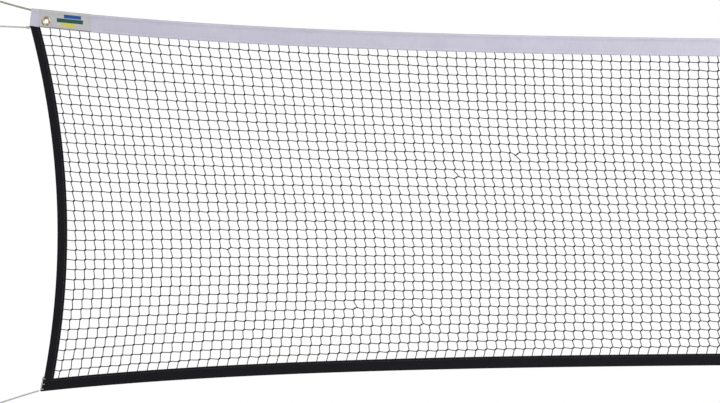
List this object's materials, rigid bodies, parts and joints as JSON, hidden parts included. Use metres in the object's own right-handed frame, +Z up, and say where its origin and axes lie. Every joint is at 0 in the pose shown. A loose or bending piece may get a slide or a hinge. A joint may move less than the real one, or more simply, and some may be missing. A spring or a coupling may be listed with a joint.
{
  "type": "badminton net",
  "caption": "Long knotted net with a folded white headband, black side and bottom tapes, brass eyelets and tie cords; swings about its top cord.",
  "frame": {"origin": "where the top cord leaves the headband at the left end, on the cord's axis", "axes": "+X along the net towards its right end, +Y to the back, +Z up"},
  "size_m": [6.3572, 0.0088, 0.8519],
  "materials": {
    "netting_twine": "matt knotted twine",
    "headband_fabric": "matt woven cloth",
    "patch_fabric": "matt ribbed cloth",
    "black_tape": "matt woven tape",
    "white_thread": "twisted thread",
    "black_thread": "twisted thread",
    "eyelet_brass": "polished, lightly tarnished",
    "top_cord_fibre": "twisted cord",
    "low_cord_fibre": "twisted cord"
  },
  "bodies": {
    "tied_cords": {"left_top_tie": "top_cord_fibre", "left_top_tie_knot": "top_cord_fibre", "left_top_tie_loop": "top_cord_fibre", "right_top_tie": "top_cord_fibre", "right_top_tie_knot": "top_cord_fibre", "right_top_tie_loop": "top_cord_fibre"},
    "net": {"netting": "netting_twine", "headband": "headband_fabric", "top_cord": "top_cord_fibre", "bottom_tape": "black_tape", "bottom_cord": "low_cord_fibre", "headband_seam": "white_thread", "bottom_tape_seam": "black_thread", "left_end_patch": "patch_fabric", "left_eyelet": "eyelet_brass", "left_eyelet_washer": "eyelet_brass", "left_side_tape": "black_tape", "left_side_cord": "low_cord_fibre", "left_side_tape_seam": "black_thread", "left_patch_stitching": "white_thread", "left_stopper_knot": "low_cord_fibre", "left_corner_lashing": "low_cord_fibre", "right_end_patch": "patch_fabric", "right_eyelet": "eyelet_brass", "right_eyelet_washer": "eyelet_brass", "right_side_tape": "black_tape", "right_side_cord": "low_cord_fibre", "right_side_tape_seam": "black_thread", "right_patch_stitching": "white_thread", "right_stopper_knot": "low_cord_fibre", "right_corner_lashing": "low_cord_fibre", "left_side_tie": "low_cord_fibre", "left_side_tie_knot": "low_cord_fibre", "left_side_tie_loop": "low_cord_fibre", "left_bottom_tie": "low_cord_fibre", "left_bottom_tie_knot": "low_cord_fibre", "left_bottom_tie_loop": "low_cord_fibre", "right_side_tie": "low_cord_fibre", "right_side_tie_knot": "low_cord_fibre", "right_side_tie_loop": "low_cord_fibre", "right_bottom_tie": "low_cord_fibre", "right_bottom_tie_knot": "low_cord_fibre", "right_bottom_tie_loop": "low_cord_fibre"}
  },
  "joints": [
    {"name": "net_swing", "type": "hinge", "parent": "tied_cords", "child": "net", "pos_m": [0, 0, 0], "axis": [1, 0, 0], "range_deg": [-80, 80]}
  ]
}
